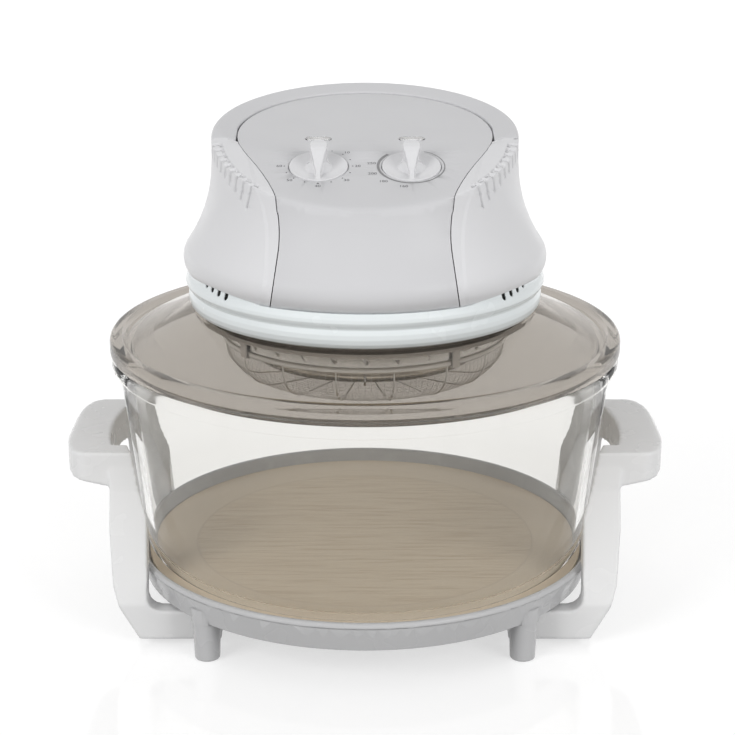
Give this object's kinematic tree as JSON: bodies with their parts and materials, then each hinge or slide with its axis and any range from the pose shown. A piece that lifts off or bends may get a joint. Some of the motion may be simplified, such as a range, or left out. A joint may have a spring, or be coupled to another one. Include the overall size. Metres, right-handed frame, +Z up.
{
  "type": "halogen oven",
  "caption": "Countertop halogen oven: glass bowl in a white stand with side handles, glass lid with a motor head, control knobs and a folding safety handle.",
  "frame": {"origin": "on the supporting surface under the middle of the bowl, level with the soles of the feet", "axes": "+Z up, -Y towards the front with the knobs, +X to the right seen from the front"},
  "size_m": [0.405, 0.344, 0.3451],
  "materials": {
    "white_plastic": "satin",
    "collar_plastic": "gloss",
    "knob_plastic": "gloss",
    "glass": "gloss",
    "window": "gloss",
    "liner": "satin",
    "steel": "satin",
    "bright_metal": "polished",
    "aluminium": "satin",
    "clip_white": "satin",
    "quartz": "gloss",
    "ceramic_white": "satin",
    "insulation": "matte",
    "unit_plastic": "satin",
    "lamp_body": "satin",
    "bakelite": "satin",
    "core_steel": "satin",
    "winding": "satin",
    "gland_rubber": "matte"
  },
  "bodies": {
    "stand": {"base_tray": "white_plastic", "base_liner": "liner", "left_side_frame": "white_plastic", "right_side_frame": "white_plastic", "front_left_foot": "white_plastic", "front_right_foot": "white_plastic", "rear_left_foot": "white_plastic", "rear_right_foot": "white_plastic", "foot_screws": "steel", "frame_screws": "steel"},
    "bowl": {"glass_bowl": "glass"},
    "lid": {"glass_lid": "glass", "vent_collar": "collar_plastic", "clamp_plate": "bright_metal", "insulation_disc": "insulation", "reflector_pan": "bright_metal", "heater_guard": "bright_metal", "guard_clip_1": "clip_white", "guard_clip_2": "clip_white", "guard_clip_3": "clip_white", "guard_clip_4": "clip_white", "halogen_tube": "quartz", "left_tube_socket": "ceramic_white", "right_tube_socket": "ceramic_white", "tube_hangers": "steel", "rear_housing": "white_plastic", "control_panel": "white_plastic", "left_lamp_window": "window", "right_lamp_window": "window", "left_signal_lamp": "lamp_body", "right_signal_lamp": "lamp_body", "timer_unit": "unit_plastic", "thermostat_unit": "bakelite", "motor_stator": "core_steel", "motor_coil": "winding", "lower_motor_bracket": "steel", "upper_motor_bracket": "steel", "terminal_block": "ceramic_white", "thermal_cutout": "steel", "cord_gland": "gland_rubber", "safety_switch": "unit_plastic", "left_hinge_pin": "steel", "right_hinge_pin": "steel", "clamp_screws": "steel", "housing_screws": "steel", "motor_screws": "steel"},
    "handle": {"safety_handle": "white_plastic"},
    "timer_dial": {"timer_knob": "knob_plastic", "timer_spindle": "steel"},
    "thermostat_dial": {"thermostat_knob": "knob_plastic", "thermostat_spindle": "steel"},
    "fan_shaft": {"motor_shaft": "steel", "motor_rotor": "core_steel", "cooling_fan": "white_plastic", "air_fan": "aluminium"},
    "plunger": {"switch_plunger": "white_plastic"}
  },
  "joints": [
    {"name": "bowl_lift", "type": "slide", "parent": "stand", "child": "bowl", "axis": [0, 0, 1], "range_m": [0, 0.16]},
    {"name": "lid_lift", "type": "slide", "parent": "bowl", "child": "lid", "axis": [0, 0, 1], "range_m": [0, 0.1]},
    {"name": "handle_fold", "type": "hinge", "parent": "lid", "child": "handle", "pos_m": [0, -0.00145, 0.31828], "axis": [1, 0, 0], "range_deg": [0, 90]},
    {"name": "timer_turn", "type": "hinge", "parent": "lid", "child": "timer_dial", "pos_m": [-0.0295, -0.05002, 0.31508], "axis": [0, 0.309, -0.9511], "range_deg": [0, 270]},
    {"name": "thermostat_turn", "type": "hinge", "parent": "lid", "child": "thermostat_dial", "pos_m": [0.0295, -0.05002, 0.31508], "axis": [0, 0.309, -0.9511], "range_deg": [0, 300]},
    {"name": "fan_spin", "type": "hinge", "parent": "lid", "child": "fan_shaft", "pos_m": [0, 0, 0.25], "axis": [0, 0, 1], "continuous": true},
    {"name": "switch_press", "type": "slide", "parent": "lid", "child": "plunger", "axis": [0, -0.1521, 0.9884], "range_m": [0, 0.0015]}
  ],
  "couplings": [
    {"joint": "switch_press", "follows": "handle_fold", "m_per_rad": 0.00095493}
  ]
}
